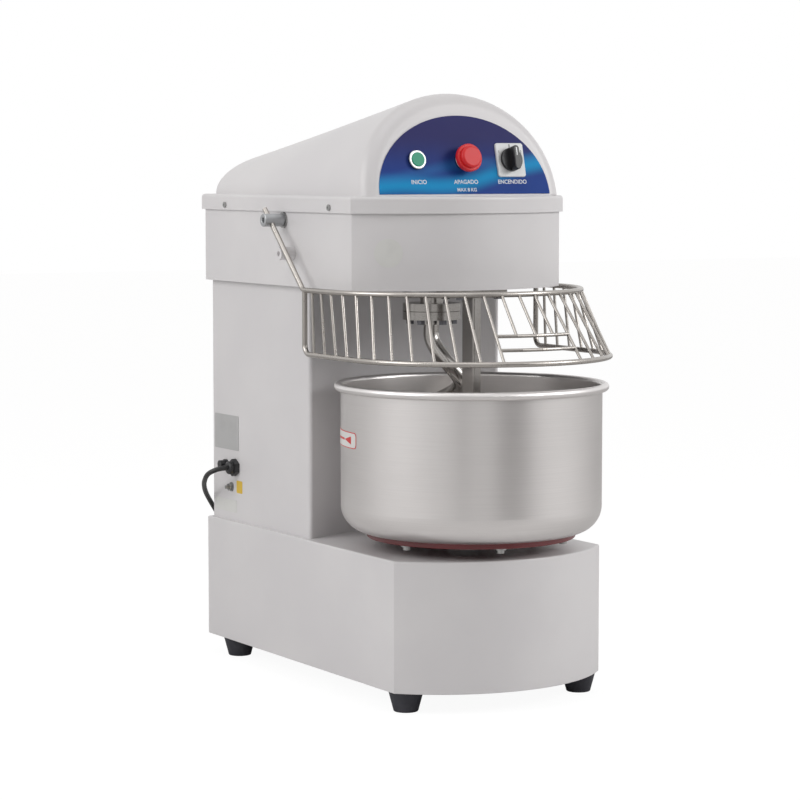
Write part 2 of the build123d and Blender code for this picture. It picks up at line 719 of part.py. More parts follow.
hub_r = 27.0
hook_pulley_hole_circle = 75.0
hook_pulley_hole_r = 26.0
with BuildPart() as hook_pulley:
    grooved_pulley((0, hook_y), hook_large_r, large_belt_z, hook_shaft_r)
    grooved_pulley((0, hook_y), hook_small_r, small_belt_z, hook_shaft_r)
    turned((0, hook_y), [(hub_r, large_belt_z, small_belt_z - pulley_width / 2)])
    bored((0, hook_y), hook_shaft_r, large_belt_z, small_belt_z)
    for hole in range(6):
        angle = radians(60 * hole)
        place = (hook_pulley_hole_circle * cos(angle), hook_y + hook_pulley_hole_circle * sin(angle))
        bored(place, hook_pulley_hole_r, large_belt_z - pulley_width, large_belt_z + pulley_width)
hook_pulley.part.label = "hook_pulley"
export_step(hook_pulley.part, "parts/hook_pulley.step")

# ---------------------------------------------------------------- breaker bar
breaker_low = bowl_bottom + bowl_sheet + breaker_clear
with BuildPart() as breaker_bar:
    with Locations((0, bowl_y, breaker_low)):
        Box(breaker_x, breaker_y, head_bottom - breaker_low, align=(Align.CENTER, Align.CENTER, Align.MIN))
    fillet(breaker_bar.edges().filter_by(Axis.Z), 2.5)
    with Locations((0, bowl_y, head_bottom - breaker_plate[2])):
        Box(*breaker_plate, align=(Align.CENTER, Align.CENTER, Align.MIN))
    for place in breaker_bolts_xy:
        bored(place, breaker_bolt_r, head_bottom - breaker_plate[2], head_bottom)
breaker_bar.part.label = "breaker_bar"
export_step(breaker_bar.part, "parts/breaker_bar.step")

with BuildPart() as breaker_bolts:
    bolt_low = head_bottom - breaker_plate[2] - 6
    for place in breaker_bolts_xy:
        with BuildSketch(Plane.XY.offset(bolt_low)):
            with Locations(place):
                RegularPolygon(7.0, 6)
        extrude(amount=6)
        turned(place, [(breaker_bolt_r, bolt_low, plate_top + 8), (6.0, plate_top, plate_top + 6)])
breaker_bolts.part.label = "breaker_bolts"
export_step(breaker_bolts.part, "parts/breaker_bolts.step")

# ---------------------------------------------------------------- motor, layshaft and belts
motor_top = head_bottom - 36
motor_low = motor_top - motor_length
with BuildPart() as motor_housing:
    turned(motor_xy, [(motor_r, motor_low, motor_top)])
    fillet(motor_housing.edges().group_by(Axis.Z)[0], 8.0)
    bored(motor_xy, motor_r - 8, motor_low + 8, motor_top - 8)
    bored(motor_xy, motor_shaft_r + run_gap, motor_low, motor_top)
motor_housing.part.label = "motor_housing"
export_step(motor_housing.part, "parts/motor_housing.step")

with BuildPart() as motor_stator:
    turned(motor_xy, [(motor_r - 8, motor_low + 36, motor_top - 36)])
    bored(motor_xy, motor_r - 20, motor_low + 36, motor_top - 36)
motor_stator.part.label = "motor_stator"
export_step(motor_stator.part, "parts/motor_stator.step")

with BuildPart() as motor_rotor:
    turned(motor_xy, [(motor_shaft_r, motor_low - 4, large_belt_z + pulley_width / 2 + 4),
                      (motor_r - 21, motor_low + 40, motor_top - 40)])
motor_rotor.part.label = "motor_rotor"
export_step(motor_rotor.part, "parts/motor_rotor.step")

with BuildPart() as motor_pulley:
    grooved_pulley(motor_xy, motor_pulley_r, large_belt_z, motor_shaft_r)
motor_pulley.part.label = "motor_pulley"
export_step(motor_pulley.part, "parts/motor_pulley.step")

mount_thick = 6.0
with BuildPart() as motor_mount:
    with Locations((0, motor_xy[1], motor_top)):
        Box(column_width - 2 * sheet, 2 * motor_r, mount_thick, align=(Align.CENTER, Align.CENTER, Align.MIN))
    for side in (-1, 1):
        with Locations((side * (column_half - sheet - 1.5), motor_xy[1], motor_top - 40)):
            Box(3, 2 * motor_r, 40, align=(Align.CENTER, Align.CENTER, Align.MIN))
    bored(motor_xy, motor_shaft_r + 6, motor_top, motor_top + mount_thick)
motor_mount.part.label = "motor_mount"
export_step(motor_mount.part, "parts/motor_mount.step")

with BuildPart() as layshaft:
    turned(lay_xy, [(lay_shaft_r, lay_low, small_belt_z + pulley_width)])
layshaft.part.label = "layshaft"
export_step(layshaft.part, "parts/layshaft.step")

with BuildPart() as layshaft_top_pulley:
    grooved_pulley(lay_xy, lay_large_r, small_belt_z, lay_shaft_r)
layshaft_top_pulley.part.label = "layshaft_top_pulley"
export_step(layshaft_top_pulley.part, "parts/layshaft_top_pulley.step")

with BuildPart() as layshaft_low_pulley:
    grooved_pulley(lay_xy, lay_small_r, bowl_belt_z, lay_shaft_r)
layshaft_low_pulley.part.label = "layshaft_low_pulley"
export_step(layshaft_low_pulley.part, "parts/layshaft_low_pulley.step")

with BuildPart() as layshaft_bearings:
    for low in (plate_top, base_top - sheet - bearing_height):
        turned(lay_xy, [(26.0, low, low + bearing_height)])
        bored(lay_xy, lay_shaft_r + run_gap, low, low + bearing_height)
layshaft_bearings.part.label = "layshaft_bearings"
export_step(layshaft_bearings.part, "parts/layshaft_bearings.step")

hook_xy = (0, hook_y)
bowl_xy = (0, bowl_y)
motor_belt_ends = [(motor_xy, motor_pulley_r), (hook_xy, hook_large_r)]
transfer_belt_ends = [(hook_xy, hook_small_r), (lay_xy, lay_large_r)]
bowl_belt_ends = [(lay_xy, lay_small_r), (bowl_xy, bowl_pulley_r)]

with BuildPart() as motor_belt:
    add(belt_hull(motor_belt_ends, belt_thick / 2, large_belt_z))
    extrude(amount=belt_width)
    add(belt_hull(motor_belt_ends, -belt_thick / 2, large_belt_z))
    extrude(amount=belt_width, mode=Mode.SUBTRACT)
motor_belt.part.label = "motor_belt"
export_step(motor_belt.part, "parts/motor_belt.step")

with BuildPart() as transfer_belt:
    add(belt_hull(transfer_belt_ends, belt_thick / 2, small_belt_z))
    extrude(amount=belt_width)
    add(belt_hull(transfer_belt_ends, -belt_thick / 2, small_belt_z))
    extrude(amount=belt_width, mode=Mode.SUBTRACT)
transfer_belt.part.label = "transfer_belt"
export_step(transfer_belt.part, "parts/transfer_belt.step")

with BuildPart() as bowl_belt:
    add(belt_hull(bowl_belt_ends, belt_thick / 2, bowl_belt_z))
    extrude(amount=belt_width)
    add(belt_hull(bowl_belt_ends, -belt_thick / 2, bowl_belt_z))
    extrude(amount=belt_width, mode=Mode.SUBTRACT)
bowl_belt.part.label = "bowl_belt"
export_step(bowl_belt.part, "parts/bowl_belt.step")

# ---------------------------------------------------------------- guard
arm_tilt = atan2(pivot_z - guard_top_z, pivot_y - guard_post_y)
arm_spare = 24.0


def mirrored(points):
    """The same points on the other side of the machine, in reverse order."""
    return [(-x, y, z) for x, y, z in reversed(points)]


with BuildPart() as guard_top_ring:
    left = [(-guard_r, pivot_y + arm_spare * cos(arm_tilt), pivot_z + arm_spare * sin(arm_tilt)),
            (-guard_r, guard_post_y, guard_top_z), (-guard_r, guard_top_y, guard_top_z)]
    with BuildLine() as ring_line:
        FilletPolyline(*left, radius=guard_bend)
        ThreePointArc(left[-1], (0, guard_top_y - guard_r, guard_top_z), mirrored(left)[0])
        FilletPolyline(*mirrored(left), radius=guard_bend)
    with BuildSketch(Plane(origin=left[0], z_dir=(0, -cos(arm_tilt), -sin(arm_tilt)))):
        Circle(rod_r)
    sweep(path=ring_line.wires()[0])
guard_top_ring.part.label = "guard_top_ring"
export_step(guard_top_ring.part, "parts/guard_top_ring.step")

with BuildPart() as guard_bottom_ring:
    left = [(-guard_r, guard_post_y - 5, guard_top_z), (-guard_r, guard_post_y - 5, guard_bottom_z),
            (-guard_r, bowl_y, guard_bottom_z)]
    with BuildLine() as ring_line:
        FilletPolyline(*left, radius=guard_bend)
        ThreePointArc(left[-1], (0, bowl_y - guard_r, guard_bottom_z), mirrored(left)[0])
        FilletPolyline(*mirrored(left), radius=guard_bend)
    with BuildSketch(Plane(origin=left[0], z_dir=(0, 0, -1))):
        Circle(rod_r)
    sweep(path=ring_line.wires()[0])
    add(guard_top_ring.part, mode=Mode.SUBTRACT)
guard_bottom_ring.part.label = "guard_bottom_ring"
export_step(guard_bottom_ring.part, "parts/guard_bottom_ring.step")


def ring_point(centre_y, z, share):
    """A point on a ring's centre line, by its share of the way round from the left post."""
    straight = guard_post_y - centre_y
    arc = pi * guard_r
    way = share * (2 * straight + arc)
    if way < straight:
        return Vector(-guard_r, guard_post_y - way, z)
    if way > straight + arc:
        return Vector(guard_r, centre_y + way - straight - arc, z)
    angle = (way - straight) / guard_r
    return Vector(-guard_r * cos(angle), centre_y - guard_r * sin(angle), z)


def spoke_point(index, level):
    """A point on a spoke, level 0 on the top ring and 1 on the bottom ring."""
    top = ring_point(guard_top_y, guard_top_z, index / guard_steps)
    bottom = ring_point(bowl_y, guard_bottom_z, index / guard_steps)
    return top + (bottom - top) * level


def round_bar(start, end, radius):
    """A straight round bar between two points."""
    with Locations(Plane(origin=start, z_dir=end - start)):
        Cylinder(radius, (end - start).length, align=(Align.CENTER, Align.CENTER, Align.MIN))


with BuildPart() as guard_spokes:
    for index in range(1, guard_steps):
        end_level = window_levels[0] if index in guard_open else 1.0
        round_bar(spoke_point(index, 0.0), spoke_point(index, end_level), spoke_r)
    first, last = guard_open[0] - 1, guard_open[-1] + 1
    for level in window_levels:
        for index in range(first, last):
            round_bar(spoke_point(index, level), spoke_point(index + 1, level), spoke_r + 0.4)
    add(guard_top_ring.part, mode=Mode.SUBTRACT)
    add(guard_bottom_ring.part, mode=Mode.SUBTRACT)
guard_spokes.part.label = "guard_spokes"
export_step(guard_spokes.part, "parts/guard_spokes.step")

bush_flange = 3.0
hub_start = head_half + bush_flange + 0.4
with BuildPart() as guard_pivots:
    for side in (-1, 1):
        side_rod(side * hub_start, pivot_y, pivot_z, pivot_r, pivot_length)
        side_rod(side * (head_half - 22), pivot_y, pivot_z, pivot_pin_r, 22 + bush_flange + 0.4)
        side_hole(side * (hub_start + pivot_length - 4), pivot_y, pivot_z, 4, 4)
    fillet(guard_pivots.edges().filter_by(GeomType.CIRCLE).group_by(Axis.X)[-1], 1.0)
    fillet(guard_pivots.edges().filter_by(GeomType.CIRCLE).group_by(Axis.X)[0], 1.0)
    add(guard_top_ring.part, mode=Mode.SUBTRACT)
guard_pivots.part.label = "guard_pivots"
export_step(guard_pivots.part, "parts/guard_pivots.step")

with BuildPart() as guard_bushes:
    for side in (-1, 1):
        side_rod(side * head_half, pivot_y, pivot_z, bush_flange_r, bush_flange)
        side_rod(side * (head_half - 12), pivot_y, pivot_z, bush_r, 12)
        side_hole(side * (head_half - 12), pivot_y, pivot_z, pivot_pin_r + run_gap, 12 + bush_flange)
guard_bushes.part.label = "guard_bushes"
export_step(guard_bushes.part, "parts/guard_bushes.step")

stop_length = 25.0
with BuildPart() as stop_bosses:
    for side in (-1, 1):
        side_rod(side * head_half, stop_y, stop_z, pivot_r, stop_length)
        side_rod(side * (head_half - 8), stop_y, stop_z, stop_pin_r, 8)
        side_hole(side * (head_half + stop_length - 4), stop_y, stop_z, 4.0, 4)
stop_bosses.part.label = "stop_bosses"
export_step(stop_bosses.part, "parts/stop_bosses.step")

with BuildPart() as interlock_switch:
    with Locations((-head_half + sheet, pivot_y + 12, pivot_z - 24)):
        Box(30, 30, 48, align=(Align.MIN, Align.MIN, Align.MIN))
    fillet(interlock_switch.edges().filter_by(Axis.X), 2.0)
interlock_switch.part.label = "interlock_switch"
export_step(interlock_switch.part, "parts/interlock_switch.step")

# ---------------------------------------------------------------- electrics on the column
with BuildPart() as contactor:
    with Locations((-column_half + sheet, 110, 430)):
        Box(50, 60, 80, align=(Align.MIN, Align.MIN, Align.MIN))
    chamfer(contactor.edges().filter_by(Axis.Z), 3.0)
contactor.part.label = "contactor"
export_step(contactor.part, "parts/contactor.step")

gland_hex_r, gland_hex, gland_length = 14.0, 8.0, 16.0
with BuildPart() as cable_gland:
    with BuildSketch(Plane(origin=(-column_half, gland_y, gland_z), z_dir=(-1, 0, 0))):
        RegularPolygon(gland_hex_r, 6)
    extrude(amount=gland_hex)
    side_rod(-column_half - gland_hex, gland_y, gland_z, 10.5, gland_length - gland_hex)
    fillet(cable_gland.edges().filter_by(GeomType.CIRCLE).group_by(Axis.X)[0], 3.5)
    side_rod(-column_half + sheet + 10, gland_y, gland_z, gland_hole_r, sheet + 10)
    side_rod(-column_half + sheet + 4, gland_y, gland_z, gland_hex_r, 4)
cable_gland.part.label = "cable_gland"
export_step(cable_gland.part, "parts/cable_gland.step")

with BuildPart() as fuse_holder:
    side_rod(-column_half, fuse_y, fuse_z, 8.5, 4)
    side_rod(-column_half - 4, fuse_y, fuse_z, 7.0, 9)
    side_rod(-column_half + 30, fuse_y, fuse_z, fuse_hole_r, 30)
    side_rod(-column_half + sheet + 3, fuse_y, fuse_z, 8.5, 3)
fuse_holder.part.label = "fuse_holder"
export_step(fuse_holder.part, "parts/fuse_holder.step")

with BuildPart() as earth_bolt:
    side_rod(-column_half, earth_y, earth_z, 7.5, 1.5)
    with BuildSketch(Plane(origin=(-column_half - 1.5, earth_y, earth_z), z_dir=(-1, 0, 0))):
        RegularPolygon(5.8, 6)
    extrude(amount=5)
    side_rod(-column_half + 12, earth_y, earth_z, earth_r, 12 + 11)
    side_rod(-column_half + sheet + 5, earth_y, earth_z, 5.5, 5)
earth_bolt.part.label = "earth_bolt"
export_step(earth_bolt.part, "parts/earth_bolt.step")

# ---------------------------------------------------------------- mains cord
gland_end = -column_half - gland_length
coil_line_y = coil_y - coil_mean_r - coil_half_width + cord_r
floor_z = coil_low + cord_r
cord_points = [
    (gland_end, gland_y, gland_z),
    (gland_end - 10, gland_y, gland_z),
    (gland_end - 20, gland_y + 5, gland_z - 3),
    (gland_end - 27, gland_y + 15, gland_z - 9),
    (gland_end - 24, gland_y + 32, gland_z - 19),
    (gland_end - 14, gland_y + 57, gland_z - 32),
    (gland_end + 2, gland_y + 83, gland_z - 48),
    (gland_end + 20, gland_y + 103, gland_z - 65),
    (-150, 396, 224),
    (-134, 399, 198),
    (-126, 396, 156),
    (-122, 391, 110),
    (-112, 387, 66),
    (-96, 384, 30),
    (-72, 382, 9),
    (-46, coil_line_y, floor_z),
    (-21, coil_line_y, floor_z),
]


def cord_radii(points):
    """Each bend as large as its two runs allow."""
    radii = []
    for before, here, after in zip(points, points[1:], points[2:]):
        into = Vector(*here) - Vector(*before)
        out = Vector(*after) - Vector(*here)
        half_turn = radians(into.get_angle(out)) / 2
        radii.append(0.45 * min(into.length, out.length) / tan(half_turn))
    return radii


bends = cord_radii(cord_points)
print("cord bends, mm:", [round(r, 1) for r in bends])

with BuildPart() as power_cord:
    with BuildLine() as cord_line:
        FilletPolyline(*cord_points, radius=bends)
    start = Vector(*cord_points[0])
    with BuildSketch(Plane(origin=start, z_dir=Vector(*cord_points[1]) - start)):
        Circle(cord_r)
    sweep(path=cord_line.wires()[0])
power_cord.part.label = "power_cord"
export_step(power_cord.part, "parts/power_cord.step")
cord_length = cord_line.wires()[0].length
print("cord tube length, mm:", round(cord_length, 1))
print("volume / (section x length):", round(power_cord.part.volume / (pi * cord_r ** 2 * cord_length), 4))

coil_plane = Plane(origin=(0, coil_y, 0), x_dir=(1, 0, 0), z_dir=(0, -1, 0))
coil_axis = Axis((0, coil_y, 0), (0, 0, 1))
coil_mid_z = (coil_low + coil_high) / 2
coil_tall = coil_high - coil_low
tie_thick = 1.0
tie_arc = 14.0

with BuildPart() as cord_coil:
    with BuildSketch(coil_plane):
        with Locations((coil_mean_r, coil_mid_z)):
            RectangleRounded(2 * coil_half_width, coil_tall, 4)
    revolve(axis=coil_axis)
cord_coil.part.label = "cord_coil"
export_step(cord_coil.part, "parts/cord_coil.step")

with BuildPart() as cord_tie:
    tie_plane = coil_plane.rotated((0, 0, 90 - tie_arc / 2))
    with BuildSketch(tie_plane):
        with Locations((coil_mean_r, coil_mid_z)):
            RectangleRounded(2 * (coil_half_width + tie_thick), coil_tall + 2 * tie_thick, 4 + tie_thick)
            RectangleRounded(2 * coil_half_width, coil_tall, 4, mode=Mode.SUBTRACT)
    revolve(axis=coil_axis, revolution_arc=tie_arc)
cord_tie.part.label = "cord_tie"
export_step(cord_tie.part, "parts/cord_tie.step")

plug_r = 17.5
plug_z = plug_r + 0.4
plug_y = coil_y - coil_mean_r - 4
plug_x = 25.0
relief, plug_body, pin_length, pin_r = 30.0, 36.0, 19.0, 2.4
with BuildPart() as mains_plug:
    with BuildSketch(Plane(origin=(plug_x, plug_y, 12.5), z_dir=(1, 0, 0))):
        Circle(cord_r + 1)
    with BuildSketch(Plane(origin=(plug_x + relief, plug_y, plug_z), z_dir=(1, 0, 0))):
        Circle(9.0)
    loft()
    with Locations(Plane(origin=(plug_x + relief, plug_y, plug_z), z_dir=(1, 0, 0))):
        Cylinder(plug_r, plug_body, align=(Align.CENTER, Align.CENTER, Align.MIN))
    fillet(mains_plug.edges().filter_by(GeomType.CIRCLE).filter_by(lambda e: e.radius > plug_r - 1), 2.5)
    for offset in (-9.5, 9.5):
        with Locations(Plane(origin=(plug_x + relief + plug_body, plug_y + offset, plug_z), z_dir=(1, 0, 0))):
            Cylinder(pin_r, pin_length, align=(Align.CENTER, Align.CENTER, Align.MIN))
mains_plug.part.label = "mains_plug"
export_step(mains_plug.part, "parts/mains_plug.step")
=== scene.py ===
# %% [markdown]
# # A spiral dough mixer
# The machine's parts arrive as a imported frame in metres. This lesson gives each of them its
# finish, adds the pieces that belong to the looks alone (the printed panel, its words, the
# blank plates, the arrow on the bowl and the mains cord), and lights them as in a studio.
# Nothing that arrives is moved: a new piece takes its place from the frame's own boxes.

# %% Load the frame
import json
from math import asin, atan2, cos, degrees, pi, radians, sin, sqrt

import bmesh
import bpy
from mathutils import Matrix, Vector


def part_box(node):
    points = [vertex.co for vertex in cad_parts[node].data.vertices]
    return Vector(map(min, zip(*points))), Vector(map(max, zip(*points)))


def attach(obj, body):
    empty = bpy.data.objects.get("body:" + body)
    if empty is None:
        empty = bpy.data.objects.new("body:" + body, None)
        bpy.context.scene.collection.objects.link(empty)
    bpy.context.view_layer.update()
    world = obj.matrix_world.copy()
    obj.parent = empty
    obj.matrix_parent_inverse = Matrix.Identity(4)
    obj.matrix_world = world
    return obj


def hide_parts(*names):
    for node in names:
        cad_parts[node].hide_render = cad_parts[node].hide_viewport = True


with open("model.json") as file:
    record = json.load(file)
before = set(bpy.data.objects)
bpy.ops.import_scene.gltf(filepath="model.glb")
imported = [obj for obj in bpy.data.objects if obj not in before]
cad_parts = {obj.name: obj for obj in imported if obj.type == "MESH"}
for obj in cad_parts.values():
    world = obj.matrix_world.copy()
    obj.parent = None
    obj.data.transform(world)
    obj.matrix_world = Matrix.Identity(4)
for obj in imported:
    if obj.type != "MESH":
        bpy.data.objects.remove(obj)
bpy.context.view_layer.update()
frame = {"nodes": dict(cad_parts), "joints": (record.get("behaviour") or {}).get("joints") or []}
nodes = frame["nodes"]
joints = {joint["name"]: joint for joint in frame["joints"]}

# %% [markdown]
# ## Camera
# A product shot is taken from well back with a long lens, so the upright edges stay nearly
# parallel. The camera is placed on a circle round the machine by an azimuth and an elevation,
# which is easier to reason about than three coordinates.

# %% The camera
target = Vector((-0.0617, -0.0508, 0.440))
azimuth, elevation, distance = radians(-30.38), radians(4.95), 4.131
away = Vector((sin(azimuth) * cos(elevation), -cos(azimuth) * cos(elevation), sin(elevation)))
bpy.ops.object.camera_add(location=target + away * distance)
camera = bpy.context.object
camera.rotation_mode = "QUATERNION"
camera.rotation_quaternion = (-away).to_track_quat("-Z", "Y")
camera.data.lens = 122.2
camera.data.clip_end = 60
bpy.context.scene.camera = camera
print("camera at", [round(v, 2) for v in camera.location])

# %% [markdown]
# ## Shader maths as Python
# A procedural material is a small calculation on each point of the surface. Wiring it node by
# node is slow to read, so one class wraps a socket and overloads the operators: `1 - mask`
# adds a Math node. A second class holds a material, and one method adds any other node.


# %% Two helpers for materials
class Value:
    """A socket that holds a number, with Python's operators."""

    def __init__(self, finish, socket):
        self.finish, self.socket = finish, socket

    def _math(self, operation, other=None, swap=False):
        pair = [self.socket, getattr(other, "socket", other)]
        if swap:
            pair.reverse()
        values = {i: v for i, v in enumerate(pair) if v is not None}
        return self.finish.node("ShaderNodeMath", {"operation": operation}, values).number()

    def __add__(self, other): return self._math("ADD", other)
    def __radd__(self, other): return self._math("ADD", other)
    def __sub__(self, other): return self._math("SUBTRACT", other)
    def __rsub__(self, other): return self._math("SUBTRACT", other, True)
    def __mul__(self, other): return self._math("MULTIPLY", other)
    def __rmul__(self, other): return self._math("MULTIPLY", other)
    def __truediv__(self, other): return self._math("DIVIDE", other)
    def sine(self): return self._math("SINE")
    def size(self): return self._math("ABSOLUTE")

    def step(self, low, high):
        """0 below low, 1 above high, and smooth between."""
        settings = {"interpolation_type": "SMOOTHSTEP"}
        sockets = {"Value": self.socket, "From Min": low, "From Max": high}
        return self.finish.node("ShaderNodeMapRange", settings, sockets).number("Result")


class Added:
    """A node that a finish has added, and its outputs."""

    def __init__(self, finish, node):
        self.finish, self.node = finish, node

    def out(self, name=0): return self.node.outputs[name]
    def number(self, name=0): return Value(self.finish, self.node.outputs[name])


class Finish:
    """A material with a Principled shader, read in the object's own coordinates."""

    def __init__(self, name, colour, roughness, metallic=0.0, coat=0.0):
        self.material = bpy.data.materials.new(name)
        self.material.use_nodes = True
        self.tree = self.material.node_tree
        self.shader = self.tree.nodes["Principled BSDF"]
        self.set("Base Color", (*colour, 1.0))
        self.set("Roughness", roughness)
        self.set("Metallic", metallic)
        self.set("Coat Weight", coat)
        self.place = self.node("ShaderNodeTexCoord").out("Object")
        split = self.node("ShaderNodeSeparateXYZ", {}, {"Vector": self.place})
        self.x, self.y, self.z = split.number("X"), split.number("Y"), split.number("Z")

    def node(self, kind, settings=None, sockets=None):
        made = self.tree.nodes.new(kind)
        for key, value in (settings or {}).items():
            setattr(made, key, value)
        for key, value in (sockets or {}).items():
            value = getattr(value, "socket", value)
            if isinstance(value, bpy.types.NodeSocket):
                self.tree.links.new(value, made.inputs[key])
            else:
                made.inputs[key].default_value = value
        return Added(self, made)

    def set(self, socket, value):
        value = getattr(value, "socket", value)
        if isinstance(value, bpy.types.NodeSocket):
            self.tree.links.new(value, self.shader.inputs[socket])
        else:
            self.shader.inputs[socket].default_value = value

    def stretched(self, scale):
        """The object's coordinates, scaled apart along each axis."""
        return self.node("ShaderNodeMapping", {}, {"Vector": self.place, "Scale": scale}).out()

    def noise(self, scale, detail=3.0, vector=None):
        sockets = {"Vector": vector or self.place, "Scale": scale, "Detail": detail}
        return self.node("ShaderNodeTexNoise", {}, sockets).number("Fac")

    def blend(self, mask, low, high):
        """Two colours, or two colour sockets, mixed by a mask."""
        low = (*low, 1.0) if isinstance(low, tuple) and len(low) == 3 else low
        high = (*high, 1.0) if isinstance(high, tuple) and len(high) == 3 else high
        return self.node("ShaderNodeMix", {"data_type": "RGBA"}, {0: mask, 6: low, 7: high}).out(2)

    def bump(self, height, distance, strength=0.5):
        sockets = {"Height": height, "Distance": distance, "Strength": strength}
        self.set("Normal", self.node("ShaderNodeBump", {}, sockets).out("Normal"))


def paint(material, *names):
    """Gives CAD nodes, or new pieces, one material."""
    for name in names:
        mesh = nodes[name].data if name in nodes else bpy.data.objects[name].data
        mesh.materials.clear()
        mesh.materials.append(material)


# %% [markdown]
# ## White enamel
# The casings are folded sheet steel with a baked enamel. Real enamel is never one flat grey:
# it has a faint orange-peel skin and a slow change of tone, and its gloss changes a little
# from place to place. Noise at two very different scales gives both.


# %% Enamels
def enamel(name, colour, worn, roughness=0.32, coat=0.25):
    finish = Finish(name, colour, roughness, coat=coat)
    slow = finish.noise(5.0, 4.0)
    finish.set("Base Color", finish.blend(slow.step(0.35, 0.7), worn, colour))
    finish.set("Roughness", finish.noise(40.0) * 0.12 + (roughness - 0.06))
    finish.bump(finish.noise(420.0, 2.0), 0.00012, 0.35)
    finish.shader.inputs["Coat Roughness"].default_value = 0.15
    return finish.material


white = enamel("white_enamel", (0.73, 0.715, 0.72), (0.69, 0.675, 0.685), 0.4, 0.1)
paint(white, "base_shell", "column_shell", "rear_cover", "head_housing", "top_cover", "stop_bosses")
dark_red = enamel("dark_red_enamel", (0.16, 0.012, 0.016), (0.11, 0.01, 0.012), 0.4)
paint(dark_red, "bowl_carrier")

# %% [markdown]
# ## Brushed stainless
# Stainless is brushed along one direction, and the fine scratches pull every reflection out
# across it. The scratches here are noise squeezed hard along one axis: rings round the bowl
# need long streaks in X and Y and very short ones in Z.


# %% Metals
def brushed(name, colour, roughness, squeeze, depth=0.00003):
    finish = Finish(name, colour, roughness, 1.0)
    grain = finish.noise(1.0, 5.0, finish.stretched(squeeze))
    slow = finish.noise(9.0, 2.0)
    darker = tuple(c * 0.95 for c in colour)
    finish.set("Base Color", finish.blend(grain.step(0.3, 0.7), darker, colour))
    finish.set("Roughness", grain * 0.08 + slow * 0.08 + (roughness - 0.08))
    finish.bump(grain, depth, 0.3)
    return finish.material


bowl_steel = brushed("bowl_stainless", (0.70, 0.675, 0.665), 0.34, (10.0, 10.0, 2200.0), 0.000012)
rod_steel = brushed("rod_stainless", (0.40, 0.375, 0.35), 0.28, (60.0, 60.0, 60.0))
hook_steel = brushed("hook_stainless", (0.46, 0.44, 0.42), 0.2, (120.0, 120.0, 500.0))
plain_steel = brushed("ground_steel", (0.45, 0.45, 0.455), 0.34, (300.0, 300.0, 60.0))
zinc = brushed("zinc_plate", (0.36, 0.36, 0.355), 0.30, (90.0, 90.0, 90.0))
dull_steel = brushed("dull_bolt_steel", (0.13, 0.13, 0.14), 0.4, (90.0, 90.0, 90.0))
pivot_steel = brushed("pivot_grey_steel", (0.42, 0.43, 0.44), 0.36, (300.0, 60.0, 60.0))
iron = brushed("pulley_iron", (0.20, 0.20, 0.21), 0.45, (40.0, 40.0, 700.0))
chrome = brushed("bezel_chrome", (0.42, 0.43, 0.43), 0.16, (60.0, 60.0, 60.0))
cast = brushed("cast_aluminium", (0.48, 0.49, 0.50), 0.5, (120.0, 120.0, 120.0), 0.0002)
paint(bowl_steel, "bowl")
paint(rod_steel, "guard_top_ring", "guard_bottom_ring", "guard_spokes")
paint(hook_steel, "spiral_hook", "hook_shaft", "breaker_bar")
paint(plain_steel, "base_floor", "head_plate", "motor_mount", "turntable_bearings", "hook_bearings",
      "layshaft_bearings", "turntable_shaft", "layshaft", "motor_rotor", "motor_stator",
      "turntable_housing", "hook_housing")
paint(zinc, "foot_bolts", "panel_screws", "carrier_bolts", "earth_bolt", "guard_bushes")
paint(dull_steel, "breaker_bolts", "hook_bolts")
paint(pivot_steel, "guard_pivots")
paint(iron, "bowl_pulley", "hook_pulley", "motor_pulley", "layshaft_top_pulley", "layshaft_low_pulley")
paint(chrome, "button_bezels")
paint(cast, "motor_housing")

# %% [markdown]
# ## Rubber and moulded plastic
# Black rubber looks black only in the middle: dust and moulding skin make it greyer and
# duller in patches. Moulded plastic has a fine spark-eroded grain.


# %% Rubber and plastics
def moulded(name, colour, dusty, roughness, grain=700.0, depth=0.00008, coat=0.0):
    finish = Finish(name, colour, roughness, coat=coat)
    slow = finish.noise(28.0, 5.0)
    finish.set("Base Color", finish.blend(slow.step(0.45, 0.8), colour, dusty))
    finish.set("Roughness", slow * 0.2 + (roughness - 0.1))
    finish.bump(finish.noise(grain, 2.0), depth, 0.4)
    return finish.material


rubber = moulded("black_rubber", (0.022, 0.022, 0.03), (0.05, 0.05, 0.06), 0.62)
sheath = moulded("cord_sheath", (0.014, 0.014, 0.015), (0.03, 0.03, 0.03), 0.42)
black = moulded("black_moulding", (0.012, 0.012, 0.014), (0.028, 0.028, 0.03), 0.38)
grey = moulded("grey_moulding", (0.25, 0.26, 0.27), (0.32, 0.32, 0.33), 0.5)
green = moulded("green_cap", (0.0, 0.28, 0.15), (0.01, 0.34, 0.19), 0.45, 300.0, 0.00004, 0.05)
red = moulded("red_cap", (0.66, 0.008, 0.012), (0.72, 0.02, 0.02), 0.45, 300.0, 0.00004, 0.05)
plate_white = moulded("white_moulding", (0.74, 0.76, 0.76), (0.68, 0.70, 0.70), 0.35, 300.0, 0.00004)
paint(rubber, "rubber_feet", "motor_belt", "transfer_belt", "bowl_belt")
paint(black, "cable_gland", "fuse_holder", "mains_plug", "selector_knob", "interlock_switch", "cord_tie")
paint(grey, "contact_blocks", "contactor")
paint(green, "start_button")
paint(red, "stop_button")
paint(plate_white, "selector_plate")

# %% [markdown]
# ## The printed panel
# The panel is a printed film on a plate: indigo at the top, royal blue below, and a lighter
# sweep that rises to the right. Each colour band is a smooth step between two heights, and
# the sweep is the distance from a curve, worked out on the object's own coordinates.

